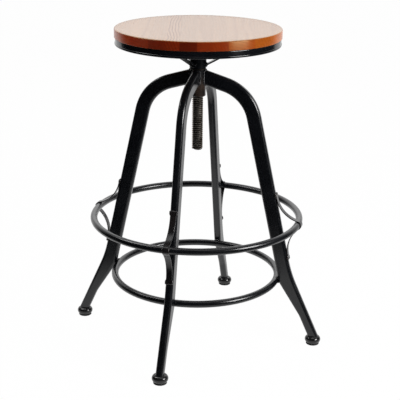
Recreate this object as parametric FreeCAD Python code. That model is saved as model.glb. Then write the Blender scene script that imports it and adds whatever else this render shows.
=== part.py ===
import FreeCAD, Part
import math
import os

V = FreeCAD.Vector

# Counter stool with a round wood seat on a threaded post.
# Millimetres, +Z up, origin on the floor at the post's axis.
# The four legs point along -Y (front), +X (right), +Y (back) and -X (left).

# Seat board
seat_height = 647.0  # floor to the top of the board, screwed all the way down
seat_diameter = 330.0
seat_thickness = 18.0
seat_top_round = 2.2
seat_bottom_round = 1.0

# Steel ring under the board, a flat bar rolled on edge
band_inset = 0.8  # how far the ring stands back from the board's edge
band_height = 14.0
band_thickness = 6.0
band_round = 2.0

# Three arms of flat bar inside the ring, under the board
bar_width = 30.0
bar_thickness = 4.0
arm_turn_deg = 12.3  # first arm from the right leg's direction, with the seat screwed all the way down

# Hub under the arms, and the pin that locks the post in it
hub_diameter = 34.0
hub_length = 58.0
hub_chamfer = 1.5
pin_diameter = 6.0
pin_height = 33.0  # above the hub's lower face
pin_recess = 0.5
pin_turn_deg = 90.0  # from the first arm, clear of the struts

# Slanting struts from the hub up to the arms
strut_width = 14.0
strut_thickness = 3.0
strut_root_height = 7.2  # above the hub's lower face, at the hub's wall
strut_tab = 16.0  # the end that lies flat under an arm
strut_end_to_screw = 18.0  # from the strut's end to the middle of the outer wood screw
strut_bend = 6.0
strut_edge_round = 0.6

# Wood screws, driven up through the arms
screw_from_axis = 70.0  # inner one on each arm
screw_from_ring = 15.2  # outer one, from the ring's inner face
screw_diameter = 4.5
screw_length = 16.0  # under the head
screw_tip = 4.0
screw_head_diameter = 9.0
screw_head_height = 2.6

# Washer between the hub and the collar
washer_thickness = 2.0
washer_diameter = 32.0

# Threaded post: trapezoidal thread, right-handed, one start
thread_diameter = 22.0
thread_pitch = 4.0
thread_depth = 2.0
thread_flank_deg = 15.0
thread_clearance = 0.3
thread_relief = 5.0  # plain neck between the thread and the hub
post_below_collar = 110.5
post_tip_chamfer = 2.0
shank_top_gap = 3.0  # from the shank's end to the arms
turns_per_sweep = 14  # a thread is swept in stretches of this many turns

# Collar, the nut that the legs are welded to
collar_diameter = 32.0
collar_length = 54.0
collar_chamfer = 1.2

# Leg tube: an arm that drops from the collar, a shoulder bend, a leaning leg,
# a knee and a splayed shank that tapers to a parallel tip
leg_width = 29.0  # in the leg's own plane
leg_thickness = 15.5
leg_corner = 6.0
leg_wall = 1.5
arm_below_collar_top = 11.5  # where the arm's centreline would meet the axis
arm_drop_deg = 16.3  # below the horizontal
shoulder_radius = 84.0  # of the centreline
leg_lean_deg = 12.6  # from the vertical
leg_floor_radius = 222.2  # where the leaning centreline would meet the floor
knee_outer_height = 152.0
knee_outer_radius = 240.0
knee_inner_height = 131.0
knee_inner_radius = 10.0
shank_splay_deg = 24.6  # from the vertical
tip_width = 19.3
tip_start_height = 60.0
tip_blend_radius = 70.0

# Squat ball feet and their pads
ball_diameter = 32.5
ball_side_round = 7.8
ball_centre_height = 10.2
leg_in_ball = 5.0
plug_length = 22.0
pad_diameter = 27.0
pad_thickness = 3.6
pad_edge_round = 0.8
pad_spigot_diameter = 12.0
pad_spigot_length = 5.0

# Foot ring outside the legs, and the bow strips that hold it
ring_bar_diameter = 14.0
foot_ring_height = 258.5
foot_ring_radius = 212.0
bow_width = 12.0
bow_thickness = 2.0
bow_radius = 60.0
bow_tab = 8.0
bow_edge_round = 0.5

# Brace ring inside the legs
brace_ring_above_knee = 1.5

# Fits
weld_gap = 0.05  # between welded pieces, so that their faces only just part
push_fit = 0.15  # around plugs, spigots, pins and shanks
screw_clearance = 0.3  # around a wood screw in a bar
largest_round = 0.45  # of the wall that an edge rounding sits on
same_length = 1e-6  # lengths that differ by less are taken as equal

# Heights and radii that follow from the sizes above
seat_underside = seat_height - seat_thickness
bar_underside = seat_underside - bar_thickness
hub_bottom = bar_underside - hub_length
collar_top = hub_bottom - washer_thickness
collar_bottom = collar_top - collar_length
post_end = collar_bottom - post_below_collar
band_outer_radius = seat_diameter / 2 - band_inset
band_inner_radius = band_outer_radius - band_thickness
outer_screw_radius = band_inner_radius - screw_from_ring
thread_radius = thread_diameter / 2
thread_root_radius = thread_radius - thread_depth
collar_radius = collar_diameter / 2
hub_radius = hub_diameter / 2
ring_bar_radius = ring_bar_diameter / 2
ball_top = ball_centre_height + ball_side_round
ball_flat_radius = ball_diameter / 2 - ball_side_round
leg_end_height = ball_top - leg_in_ball
foot_ring_centre = (foot_ring_radius, foot_ring_height)
brace_ring_height = knee_inner_height + brace_ring_above_knee

SIDES = {"right": 0.0, "back": 90.0, "left": 180.0, "front": 270.0}
ARMS = {"right": arm_turn_deg, "back": arm_turn_deg + 120.0, "front": arm_turn_deg + 240.0}
AXIS = V(0, 0, 1)


# Plane geometry in a leg's own plane: a point is (distance from the axis, height)
def heading(degrees_below_horizontal):
    angle = math.radians(degrees_below_horizontal)
    return (math.cos(angle), -math.sin(angle))


def shifted(line, distance):
    """A line moved sideways, outwards for a line that runs down the leg."""
    (x, z), (dx, dz) = line
    return ((x - dz * distance, z + dx * distance), (dx, dz))


def crossing(first, second):
    (x1, z1), (a1, b1) = first
    (x2, z2), (a2, b2) = second
    along = ((x2 - x1) * b2 - (z2 - z1) * a2) / (a1 * b2 - b1 * a2)
    return (x1 + along * a1, z1 + along * b1)


def at_height(line, height):
    return crossing(line, ((0.0, height), (1.0, 0.0)))


def at_radius(line, radius):
    return crossing(line, ((radius, 0.0), (0.0, 1.0)))


def line_between(start, end):
    dx = end[0] - start[0]
    dz = end[1] - start[1]
    length = math.hypot(dx, dz)
    return (start, (dx / length, dz / length))


def moved_along(point, direction, distance):
    return (point[0] + direction[0] * distance, point[1] + direction[1] * distance)


def on_circle(centre, radius, angle):
    return (centre[0] + radius * math.cos(angle), centre[1] + radius * math.sin(angle))


def in_plane(point):
    return V(point[0], 0, point[1])


def straight(start, end):
    return Part.LineSegment(in_plane(start), in_plane(end)).toShape()


def arc(centre, radius, start_angle, end_angle):
    middle_angle = (start_angle + end_angle) / 2
    angles = (start_angle, middle_angle, end_angle)
    return Part.Arc(*[in_plane(on_circle(centre, radius, a)) for a in angles]).toShape()


def rounded_outline(corners):
    """A closed wire through (point, radius) corners, with a tangent arc at each radius above 0."""
    edges = []
    trimmed = []
    count = len(corners)
    for i, (point, radius) in enumerate(corners):
        if radius <= 0:
            trimmed.append((point, point))
            continue
        _, back = line_between(point, corners[i - 1][0])
        _, ahead = line_between(point, corners[(i + 1) % count][0])
        half = math.acos(back[0] * ahead[0] + back[1] * ahead[1]) / 2
        reach = radius / math.tan(half)
        start = moved_along(point, back, reach)
        end = moved_along(point, ahead, reach)
        _, inwards = line_between(point, ((start[0] + end[0]) / 2, (start[1] + end[1]) / 2))
        middle = moved_along(point, inwards, radius / math.sin(half) - radius)
        edges.append(Part.Arc(in_plane(start), in_plane(middle), in_plane(end)).toShape())
        trimmed.append((start, end))
    for i, (_, end) in enumerate(trimmed):
        following = trimmed[(i + 1) % count][0]
        edges.append(straight(end, following))
    return Part.Wire(Part.__sortEdges__(edges))


def slab(outline, thickness):
    """The outline as a solid of this thickness, half on each side of the leg's plane."""
    face = Part.Face(outline)
    face.translate(V(0, -thickness / 2, 0))
    return face.extrude(V(0, thickness, 0))


def rounding(radius, wall):
    """An edge rounding that leaves a flat on a wall of this thickness."""
    return min(radius, largest_round * wall)


def around(shape, angle):
    turned = shape.copy()
    turned.rotate(V(0, 0, 0), AXIS, angle)
    return turned


def cylinder(radius, bottom, top):
    return Part.makeCylinder(radius, top - bottom, V(0, 0, bottom))


def revolved(profile):
    """A solid of revolution about the axis from (radius, height) points."""
    points = [in_plane(p) for p in profile]
    face = Part.Face(Part.makePolygon(points + [points[0]]))
    return face.revolve(V(0, 0, 0), AXIS, 360)


def one_solid(shape):
    if len(shape.Solids) != 1:
        raise ValueError(f"expected one solid, found {len(shape.Solids)}")
    return shape.Solids[0]


def circles_at(shape, height, radius):
    """The round edges of a shape at a height and with a radius."""
    found = []
    for edge in shape.Edges:
        if edge.Degenerated or not isinstance(edge.Curve, Part.Circle):
            continue
        same_radius = abs(edge.Curve.Radius - radius) < same_length
        if same_radius and abs(edge.Curve.Center.z - height) < same_length:
            found.append(edge)
    return found


# Leg lines
arm_line = ((0.0, collar_top - arm_below_collar_top), heading(arm_drop_deg))
leg_line = ((leg_floor_radius, 0.0), heading(90.0 - leg_lean_deg))
outer_face = shifted(leg_line, leg_width / 2)
inner_face = shifted(leg_line, -leg_width / 2)
outer_shank = (at_height(outer_face, knee_outer_height), heading(90.0 - shank_splay_deg))
inner_tip = shifted(outer_shank, -tip_width)
inner_shank = line_between(at_height(inner_face, knee_inner_height), at_height(inner_tip, tip_start_height))
tip_centre_line = shifted(outer_shank, -tip_width / 2)
foot_radius = at_height(tip_centre_line, ball_top)[0]


def leg_outline(inset, end_height):
    """The leg's side outline, moved inwards by inset, from inside the collar to end_height."""
    half = leg_width / 2 - inset
    upper_arm = shifted(arm_line, half)
    lower_arm = shifted(arm_line, -half)
    outside = shifted(leg_line, half)
    inside = shifted(leg_line, -half)
    shank_out = shifted(outer_shank, -inset)
    shank_in = shifted(inner_shank, inset)
    tip_in = shifted(inner_tip, inset)
    start_radius = collar_radius / 2
    corners = [
        (at_radius(upper_arm, start_radius), 0),
        (crossing(upper_arm, outside), shoulder_radius + half),
        (crossing(outside, shank_out), knee_outer_radius + inset),
        (at_height(shank_out, end_height), 0),
        (at_height(tip_in, end_height), 0),
        (crossing(shank_in, tip_in), tip_blend_radius + inset),
        (crossing(inside, shank_in), knee_inner_radius - inset),
        (crossing(lower_arm, inside), shoulder_radius - half),
        (at_radius(lower_arm, start_radius), 0),
    ]
    return rounded_outline(corners)


def leg_bar(inset, end_height):
    """The leg's full form with rounded long edges, inset all round."""
    thickness = leg_thickness - 2 * inset
    bar = slab(leg_outline(inset, end_height), thickness)
    long_edges = []
    for edge in bar.Edges:
        box = edge.BoundBox
        on_side = box.YLength < same_length
        at_collar = box.XLength < same_length
        at_foot = box.ZLength < same_length and abs(box.ZMin - end_height) < same_length
        if on_side and not at_collar and not at_foot:
            long_edges.append(edge)
    return bar.makeFillet(rounding(leg_corner, leg_thickness) - inset, long_edges)


def make_leg():
    bore = leg_bar(leg_wall, leg_end_height - leg_wall)
    seat_on_collar = cylinder(collar_radius + weld_gap, 0.0, seat_height)
    return one_solid(leg_bar(0.0, leg_end_height).cut(bore).cut(seat_on_collar))


def make_ball_foot():
    """A squat ball, turned from a half-round side between two flats, with a plug for the leg."""
    side_centre = (ball_flat_radius, ball_centre_height)
    lowest_turn = math.asin((pad_thickness - ball_centre_height) / ball_side_round)
    rim = on_circle(side_centre, ball_side_round, lowest_turn)
    profile = [
        straight((0.0, pad_thickness), rim),
        arc(side_centre, ball_side_round, lowest_turn, math.pi / 2),
        straight((ball_flat_radius, ball_top), (0.0, ball_top)),
        straight((0.0, ball_top), (0.0, pad_thickness)),
    ]
    ball = Part.Face(Part.Wire(profile)).revolve(V(0, 0, 0), AXIS, 360)
    ball.translate(V(foot_radius, 0, 0))
    ball = ball.cut(leg_bar(-push_fit, leg_end_height - push_fit))
    plug_top = leg_end_height + plug_length
    plug_room = Part.makeBox(2 * foot_radius, leg_width, plug_top - ball_centre_height)
    plug_room.translate(V(0, -leg_width / 2, ball_centre_height))
    plug = leg_bar(leg_wall + push_fit, ball_centre_height).common(plug_room)
    hole_top = pad_thickness + pad_spigot_length + push_fit
    hole = cylinder(pad_spigot_diameter / 2 + push_fit, 0.0, hole_top)
    hole.translate(V(foot_radius, 0, 0))
    return one_solid(ball.fuse(plug).removeSplitter().cut(hole))


def make_foot_pad():
    pad = cylinder(pad_diameter / 2, 0.0, pad_thickness)
    rims = circles_at(pad, 0.0, pad_diameter / 2) + circles_at(pad, pad_thickness, pad_diameter / 2)
    pad = pad.makeFillet(rounding(pad_edge_round, pad_thickness), rims)
    pad = pad.fuse(cylinder(pad_spigot_diameter / 2, 0.0, pad_thickness + pad_spigot_length))
    pad.translate(V(foot_radius, 0, 0))
    return one_solid(pad.removeSplitter())


def make_ring_bow():
    """A strip that leaves the leg, wraps the foot ring's outer side and comes back to the leg."""
    half = bow_thickness / 2
    on_leg = shifted(outer_face, half + weld_gap)
    wrap_radius = ring_bar_radius + half + weld_gap
    direction = on_leg[1]
    outwards = (-direction[1], direction[0])
    from_leg = (foot_ring_centre[0] - on_leg[0][0], foot_ring_centre[1] - on_leg[0][1])
    ring_off = from_leg[0] * outwards[0] + from_leg[1] * outwards[1]
    spread = math.sqrt((bow_radius + wrap_radius) ** 2 - (bow_radius - ring_off) ** 2)
    nearest = moved_along(foot_ring_centre, outwards, -ring_off)
    upper_foot = moved_along(nearest, direction, -spread)
    lower_foot = moved_along(nearest, direction, spread)
    upper_centre = moved_along(upper_foot, outwards, bow_radius)
    lower_centre = moved_along(lower_foot, outwards, bow_radius)
    to_upper = line_between(foot_ring_centre, upper_centre)[1]
    to_lower = line_between(foot_ring_centre, lower_centre)[1]
    upper_turn = math.atan2(to_upper[1], to_upper[0])
    lower_turn = math.atan2(to_lower[1], to_lower[0])
    facing_leg = math.atan2(outwards[1], outwards[0]) + math.pi
    upper_end = moved_along(upper_foot, direction, -bow_tab)
    lower_end = moved_along(lower_foot, direction, bow_tab)

    def side(offset):
        """One side of the strip as edges, offset outwards from its middle line."""
        bend = bow_radius - offset
        return [
            straight(moved_along(upper_end, outwards, offset), moved_along(upper_foot, outwards, offset)),
            arc(upper_centre, bend, facing_leg, upper_turn + math.pi),
            arc(foot_ring_centre, wrap_radius + offset, upper_turn, lower_turn),
            arc(lower_centre, bend, lower_turn + math.pi, facing_leg),
            straight(moved_along(lower_foot, outwards, offset), moved_along(lower_end, outwards, offset)),
        ]

    ends = [
        straight(moved_along(p, outwards, -half), moved_along(p, outwards, half))
        for p in (upper_end, lower_end)
    ]
    strip = slab(Part.Wire(Part.__sortEdges__(side(half) + side(-half) + ends)), bow_width)
    rims = [e for e in strip.Edges if e.BoundBox.YLength < same_length]
    return one_solid(strip.makeFillet(rounding(bow_edge_round, bow_thickness), rims))


def make_foot_ring():
    return Part.makeTorus(foot_ring_radius, ring_bar_radius, V(0, 0, foot_ring_height))


def make_brace_ring():
    """A round bar that just meets the inner faces of the legs."""
    lean = math.radians(leg_lean_deg)
    touching = at_height(inner_face, brace_ring_height)[0] - (ring_bar_radius + weld_gap) / math.cos(lean)
    return Part.makeTorus(touching, ring_bar_radius, V(0, 0, brace_ring_height))


def thread_ridge(inner_radius, outer_radius, widest_at_inner, first_turn, bottom, top):
    """A helical ridge between two radii, half as wide as the pitch, less its clearance, at half depth."""
    middle_radius = thread_radius - thread_depth / 2
    slope = math.tan(math.radians(thread_flank_deg))
    if widest_at_inner:
        slope = -slope
    middle_half = (thread_pitch / 2 - thread_clearance) / 2
    inner_half = middle_half + slope * (inner_radius - middle_radius)
    outer_half = middle_half + slope * (outer_radius - middle_radius)
    stretch = turns_per_sweep * thread_pitch
    begins = first_turn - math.ceil((first_turn - bottom) / thread_pitch + 1) * thread_pitch
    ridges = []
    while begins < top + thread_pitch:
        helix = Part.makeHelix(thread_pitch, stretch, outer_radius)
        helix.translate(V(0, 0, begins))
        corners = [
            V(inner_radius, 0, begins - inner_half),
            V(outer_radius, 0, begins - outer_half),
            V(outer_radius, 0, begins + outer_half),
            V(inner_radius, 0, begins + inner_half),
        ]
        profile = Part.Wire(Part.makePolygon(corners + [corners[0]]))
        ridges.append(Part.Wire(helix.Edges).makePipeShell([profile], True, True))
        begins += stretch
    return ridges


def kept_inside(ridges, room):
    """What lies inside a room of each ridge that reaches it."""
    kept = [ridge.common(room) for ridge in ridges]
    return [ridge for ridge in kept if ridge.Solids]


def make_lift_screw():
    thread_top = hub_bottom - thread_relief
    cut_radius = thread_radius + thread_clearance
    chamfer_rise = cut_radius - thread_root_radius
    room = revolved(
        [
            (0.0, post_end),
            (thread_root_radius, post_end),
            (cut_radius, post_end + chamfer_rise),
            (cut_radius, thread_top),
            (0.0, thread_top),
        ]
    )
    sunk_radius = thread_root_radius - thread_clearance
    ridges = thread_ridge(sunk_radius, thread_radius, True, post_end, post_end, thread_top)
    tip_radius = thread_root_radius - post_tip_chamfer
    core = revolved(
        [
            (0.0, post_end),
            (tip_radius, post_end),
            (thread_root_radius, post_end + post_tip_chamfer),
            (thread_root_radius, hub_bottom),
            (thread_radius, hub_bottom),
            (thread_radius, bar_underside - shank_top_gap),
            (0.0, bar_underside - shank_top_gap),
        ]
    )
    post = core.fuse(kept_inside(ridges, room))
    return one_solid(post.cut(pin_shape(push_fit, hub_diameter)))


def make_threaded_collar():
    nut_radius = thread_radius + thread_clearance
    crest_radius = thread_root_radius + thread_clearance
    sunk_radius = nut_radius + thread_clearance
    body = revolved(
        [
            (nut_radius, collar_bottom),
            (collar_radius - collar_chamfer, collar_bottom),
            (collar_radius, collar_bottom + collar_chamfer),
            (collar_radius, collar_top),
            (nut_radius, collar_top),
        ]
    )
    room = cylinder(collar_radius, collar_bottom + thread_pitch / 2, collar_top - thread_pitch / 2)
    first_turn = post_end + thread_pitch / 2
    ridges = thread_ridge(crest_radius, sunk_radius, False, first_turn, collar_bottom, collar_top)
    return one_solid(body.fuse(kept_inside(ridges, room)))


def make_thrust_washer():
    washer = cylinder(washer_diameter / 2, collar_top, hub_bottom)
    return washer.cut(cylinder(thread_radius + thread_clearance, collar_top, hub_bottom))


def pin_shape(clearance, length):
    """The hub's cross pin, or the hole for it."""
    pin = Part.makeCylinder(pin_diameter / 2 + clearance, length, V(-length / 2, 0, 0), V(1, 0, 0))
    pin.translate(V(0, 0, hub_bottom + pin_height))
    return around(pin, arm_turn_deg + pin_turn_deg)


def make_seat_hub():
    hub = revolved(
        [
            (thread_radius + push_fit, hub_bottom),
            (hub_radius - hub_chamfer, hub_bottom),
            (hub_radius, hub_bottom + hub_chamfer),
            (hub_radius, bar_underside),
            (thread_radius + push_fit, bar_underside),
        ]
    )
    return one_solid(hub.cut(pin_shape(push_fit, hub_diameter)))


def make_strut():
    """A flat strip that climbs from the hub's wall and lies flat under an arm at its end."""
    half = strut_thickness / 2
    root = (hub_radius, hub_bottom + strut_root_height)
    tab_end = outer_screw_radius - strut_end_to_screw
    tab_line = ((0.0, bar_underside - half), (1.0, 0.0))
    climb = line_between(root, at_radius(tab_line, tab_end - strut_tab))
    upper_climb = shifted(climb, half)
    lower_climb = shifted(climb, -half)
    upper_tab = shifted(tab_line, half)
    lower_tab = shifted(tab_line, -half)
    corners = [
        (at_radius(upper_climb, thread_radius), 0),
        (crossing(upper_climb, upper_tab), strut_bend + half),
        (at_radius(upper_tab, tab_end), 0),
        (at_radius(lower_tab, tab_end), 0),
        (crossing(lower_climb, lower_tab), strut_bend - half),
        (at_radius(lower_climb, thread_radius), 0),
    ]
    strip = slab(rounded_outline(corners), strut_width)
    rims = []
    for edge in strip.Edges:
        box = edge.BoundBox
        if box.YLength < same_length and box.XLength > same_length:
            rims.append(edge)
    strip = strip.makeFillet(rounding(strut_edge_round, strut_thickness), rims)
    return one_solid(strip.cut(cylinder(hub_radius + weld_gap, 0.0, seat_height)))


def make_seat_ring():
    bottom = seat_underside - band_height
    ring = revolved(
        [
            (band_inner_radius, bottom),
            (band_outer_radius, bottom),
            (band_outer_radius, seat_underside),
            (band_inner_radius, seat_underside),
        ]
    )
    rims = []
    for height in (bottom, seat_underside):
        for radius in (band_inner_radius, band_outer_radius):
            rims += circles_at(ring, height, radius)
    return one_solid(ring.makeFillet(rounding(band_round, band_thickness), rims))


def screw_spots():
    """Places of the wood screws: the same ones on each arm."""
    spots = []
    for angle in ARMS.values():
        turn = math.radians(angle)
        for distance in (screw_from_axis, outer_screw_radius):
            spots.append(V(distance * math.cos(turn), distance * math.sin(turn), 0))
    return spots


def screw_shafts(radius, top):
    shafts = []
    for spot in screw_spots():
        shaft = cylinder(radius, bar_underside - screw_head_height, top)
        shaft.translate(spot)
        shafts.append(shaft)
    return shafts


def make_arm(angle):
    """A flat bar from the middle of the hub's top to the ring, drilled for its wood screws."""
    start = bar_width / 2 / math.tan(math.pi / len(ARMS)) + weld_gap
    arm = Part.makeBox(seat_diameter, bar_width, bar_thickness, V(start, -bar_width / 2, bar_underside))
    arm = arm.common(cylinder(band_inner_radius - weld_gap, bar_underside, seat_underside))
    shafts = screw_shafts(screw_diameter / 2 + screw_clearance, seat_height)
    return one_solid(around(arm, angle).cut(shafts))


def make_wood_screw():
    shaft_radius = screw_diameter / 2
    head_radius = screw_head_diameter / 2
    screw = revolved(
        [
            (0.0, bar_underside - screw_head_height),
            (head_radius - screw_head_height / 2, bar_underside - screw_head_height),
            (head_radius, bar_underside - screw_head_height / 2),
            (head_radius, bar_underside),
            (shaft_radius, bar_underside),
            (shaft_radius, bar_underside + screw_length - screw_tip),
            (0.0, bar_underside + screw_length),
        ]
    )
    return one_solid(screw)


def make_wood_screws():
    screws = []
    for spot in screw_spots():
        screw = make_wood_screw()
        screw.translate(spot)
        screws.append(screw)
    return Part.makeCompound(screws)


def make_wood_seat():
    radius = seat_diameter / 2
    board = cylinder(radius, seat_underside, seat_height)
    top_round = rounding(seat_top_round, seat_thickness)
    bottom_round = rounding(seat_bottom_round, seat_thickness)
    board = board.makeFillet(top_round, circles_at(board, seat_height, radius))
    board = board.makeFillet(bottom_round, circles_at(board, seat_underside, radius))
    pilot_top = bar_underside + screw_length + push_fit
    return one_solid(board.cut(screw_shafts(screw_diameter / 2 + push_fit, pilot_top)))


def make_stool():
    nodes = {
        "threaded_collar": make_threaded_collar(),
        "foot_ring": make_foot_ring(),
        "brace_ring": make_brace_ring(),
        "thrust_washer": make_thrust_washer(),
        "wood_seat": make_wood_seat(),
        "seat_ring": make_seat_ring(),
        "seat_hub": make_seat_hub(),
        "lift_screw": make_lift_screw(),
        "hub_pin": pin_shape(0.0, hub_diameter - 2 * pin_recess),
        "wood_screws": make_wood_screws(),
    }
    repeated = {
        "leg": make_leg(),
        "ring_bow": make_ring_bow(),
        "ball_foot": make_ball_foot(),
        "foot_pad": make_foot_pad(),
    }
    for side, angle in SIDES.items():
        for name, shape in repeated.items():
            nodes[f"{name}_{side}"] = around(shape, angle)
    strut = make_strut()
    for side, angle in ARMS.items():
        nodes[f"arm_{side}"] = make_arm(angle)
        nodes[f"strut_{side}"] = around(strut, angle)
    return nodes


os.makedirs("parts", exist_ok=True)
for node_name, node_shape in make_stool().items():
    node_shape.exportStep(f"parts/{node_name}.step")
    print(node_name, len(node_shape.Solids), node_shape.isValid(), round(node_shape.Volume, 1))
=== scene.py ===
import math

import bmesh
import bpy
from mathutils import Matrix, Vector


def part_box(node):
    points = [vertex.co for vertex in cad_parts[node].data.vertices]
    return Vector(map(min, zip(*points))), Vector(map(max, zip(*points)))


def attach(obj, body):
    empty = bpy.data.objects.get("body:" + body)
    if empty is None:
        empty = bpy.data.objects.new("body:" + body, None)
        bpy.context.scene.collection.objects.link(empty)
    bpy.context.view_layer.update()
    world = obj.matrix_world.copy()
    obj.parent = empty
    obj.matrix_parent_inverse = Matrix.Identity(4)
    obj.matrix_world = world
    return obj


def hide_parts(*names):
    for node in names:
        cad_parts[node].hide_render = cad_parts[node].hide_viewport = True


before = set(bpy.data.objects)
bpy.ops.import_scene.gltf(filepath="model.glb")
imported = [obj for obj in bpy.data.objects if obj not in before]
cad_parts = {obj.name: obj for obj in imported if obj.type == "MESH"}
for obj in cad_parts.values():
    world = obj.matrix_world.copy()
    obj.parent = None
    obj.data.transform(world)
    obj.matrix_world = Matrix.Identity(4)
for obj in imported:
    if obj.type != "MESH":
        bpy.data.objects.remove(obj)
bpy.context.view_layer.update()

bl_info = {
    "name": "Counter stool",
    "version": (1, 0, 0),
    "blender": (4, 5, 0),
    "location": "View3D > Sidebar > Stool",
    "description": "Finishes, welds and screws of a counter stool with a screw-adjusted seat",
    "category": "Object",
}

BASE, SEAT = "base", "seat"
SIDES = ("right", "back", "left", "front")
ARMS = ("right", "back", "front")
QUARTER = math.pi / 2

# The nodes that wear each finish
ENAMELLED = ["foot_ring", "brace_ring", "seat_hub"] + [f"leg_{side}" for side in SIDES]
ENAMELLED += [f"{name}_{side}" for name in ("arm", "strut") for side in ARMS]
BOWS = [f"ring_bow_{side}" for side in SIDES]
BALLS = [f"ball_foot_{side}" for side in SIDES]
PADS = [f"foot_pad_{side}" for side in SIDES]

# The board's staves from left to right: where each starts across the board in metres, its tone, the warmth
# of its stain, the strength of its lines, and where its tree's axis lies within the tree reach, from 0 to 1
STAVES = (
    (-0.165, 0.85, 0.30, 0.30, 0.80),
    (-0.128, 0.86, 0.12, 0.25, 0.20),
    (-0.092, 0.62, 0.05, 0.35, 0.75),
    (-0.060, 0.70, 0.115, 0.90, 0.05),
    (-0.034, 0.34, 0.05, 0.30, 0.85),
    (-0.002, 0.60, 0.20, 0.22, 0.54),
    (0.027, 0.64, 0.25, 0.30, 0.20),
    (0.056, 0.80, 0.70, 0.25, 0.62),
    (0.105, 0.78, 0.95, 0.30, 0.10),
    (0.140, 0.80, 0.95, 0.25, 0.90),
)
TREE_REACH = 0.4

# Lamps, in metres and watts: how far to the right of, behind and above the post, the height they aim at,
# their width and height, and their power
LAMPS = {
    "back_softbox": (0.0, 2.2, 1.5, 0.6, 3.0, 1.1, 8.0),
    "top_softbox": (0.0, 0.0, 2.2, 0.45, 1.5, 1.5, 8.5),
    "left_softbox": (-1.2, 0.13, 1.85, 0.45, 0.5, 0.9, 11.0),
    "right_softbox": (1.6, -1.05, 1.15, 0.45, 0.8, 0.8, 43.0),
}

# Where weld beads lie: heights above a strut's root in metres, turns around a ring's bar, and shares of a
# leg's thickness
STRUT_BEADS = (0.0004, 0.0042)
WRAP_LOW, WRAP_HIGH = math.radians(-48), math.radians(58)
BRACE_BEADS = (math.radians(52), math.radians(-40))
BRACE_REACH = 0.36
LEG_CORNER = 0.43

FLOOR_RADIUS = 25.0
ROUND_SEGMENTS = 192
SHARP_ANGLE = math.radians(38)

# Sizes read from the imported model, in metres
seat_low, seat_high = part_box("wood_seat")
band_low, band_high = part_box("seat_ring")
hub_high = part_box("seat_hub")[1]
collar_low, collar_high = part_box("threaded_collar")
leg_low, leg_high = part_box("leg_right")
bow_low, bow_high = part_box("ring_bow_right")
strut_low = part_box("strut_right")[0]
arm_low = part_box("arm_right")[0]
ring_low, ring_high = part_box("foot_ring")
brace_low, brace_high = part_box("brace_ring")
screws_low, screws_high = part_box("wood_screws")
seat_radius = seat_high.x
band_radius = band_high.x
hub_radius = hub_high.x
collar_radius = collar_high.x
post_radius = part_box("lift_screw")[1].x
leg_thickness = leg_high.y - leg_low.y
ring_bar_radius = (ring_high.z - ring_low.z) / 2
foot_ring_radius = ring_high.x - ring_bar_radius
foot_ring_height = (ring_high.z + ring_low.z) / 2
brace_ring_radius = brace_high.x - ring_bar_radius
brace_ring_height = (brace_high.z + brace_low.z) / 2


# Settings that a user would change
def float_setting(name, description, default, **kind):
    return bpy.props.FloatProperty(name=name, description=description, default=default, **kind)


def length(name, description, default):
    return float_setting(name, description, default, unit="LENGTH", precision=5)


def angle(name, description, degrees):
    return float_setting(name, description, math.radians(degrees), subtype="ANGLE")


def colour(name, description, default):
    return bpy.props.FloatVectorProperty(
        name=name, description=description, default=default, size=3, subtype="COLOR", min=0.0, max=1.0
    )


def share(name, description, default):
    return float_setting(name, description, default, subtype="FACTOR", min=0.0, max=1.0)


def ratio(name, description, default):
    return float_setting(name, description, default, min=0.1)


class BoardSettings(bpy.types.PropertyGroup):
    ring_spacing: length("Ring spacing", "Distance between growth rings", 0.0052)
    ring_wander: length("Ring wander", "How far a growth ring strays to either side", 0.012)
    pore_width: length("Pore width", "Width of the open pores", 0.0006)
    streak_width: length("Streak width", "Width of the streaks in the stain", 0.004)
    grain_turn: angle("Grain turn", "Turn of the grain from the back leg's direction", 15.3)
    face_wood: colour("Face wood", "Stain on the top", (0.29, 0.11, 0.02))
    # Painted shade: a darker colour for the board's underside
    shaded_underside: colour("Under wood", "Thin stain on the underside", (0.05, 0.022, 0.008))
    red_wood: colour("Red wood", "Stain on the edge of the darker staves", (0.36, 0.014, 0.0003))
    orange_wood: colour("Orange wood", "Stain on the edge of the paler staves", (0.41, 0.095, 0.007))
    late_wood: colour("Late wood", "Stain on the hard part of a growth ring", (0.12, 0.01, 0.0008))
    top_round: length("Top rounding", "Rounding of the upper edge", 0.0022)
    bottom_round: length("Bottom rounding", "Rounding of the lower edge", 0.001)
    lacquer_roughness: share("Lacquer roughness", "Roughness of the lacquer on the top", 0.2)
    lacquer_gloss: share("Lacquer gloss", "Strength of the lacquer's reflections", 0.46)
    gloss_tint: colour("Gloss tint", "Tint of the lacquer's reflections", (1.0, 0.9, 0.46))
    sunk_lines: share("Sunk lines", "How far the lacquer is dulled along the growth rings", 0.35)
    edge_roughness: share("Edge roughness", "Roughness of the sanded edge", 0.32)
    edge_lines: share("Edge lines", "Strength of the growth rings on the edge, of that on the top", 0.5)
    edge_brushing: share("Edge brushing", "How far the sanding marks stretch a reflection", 0.9)


class EnamelSettings(bpy.types.PropertyGroup):
    black: colour("Black", "Colour of the enamel", (0.0038, 0.0044, 0.006))
    # Painted warm reflection: this brown is mixed into the enamel in patches low down on the frame
    wear_and_warm_reflection: colour("Thin", "Colour of the enamel where it is thin", (0.048, 0.028, 0.016))
    roughness: share("Roughness", "Roughness of the enamel", 0.24)
    unevenness: share("Unevenness", "How far the roughness strays from place to place", 0.03)
    peel_size: length("Peel size", "Width of the ripples in the enamel", 0.0016)


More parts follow.
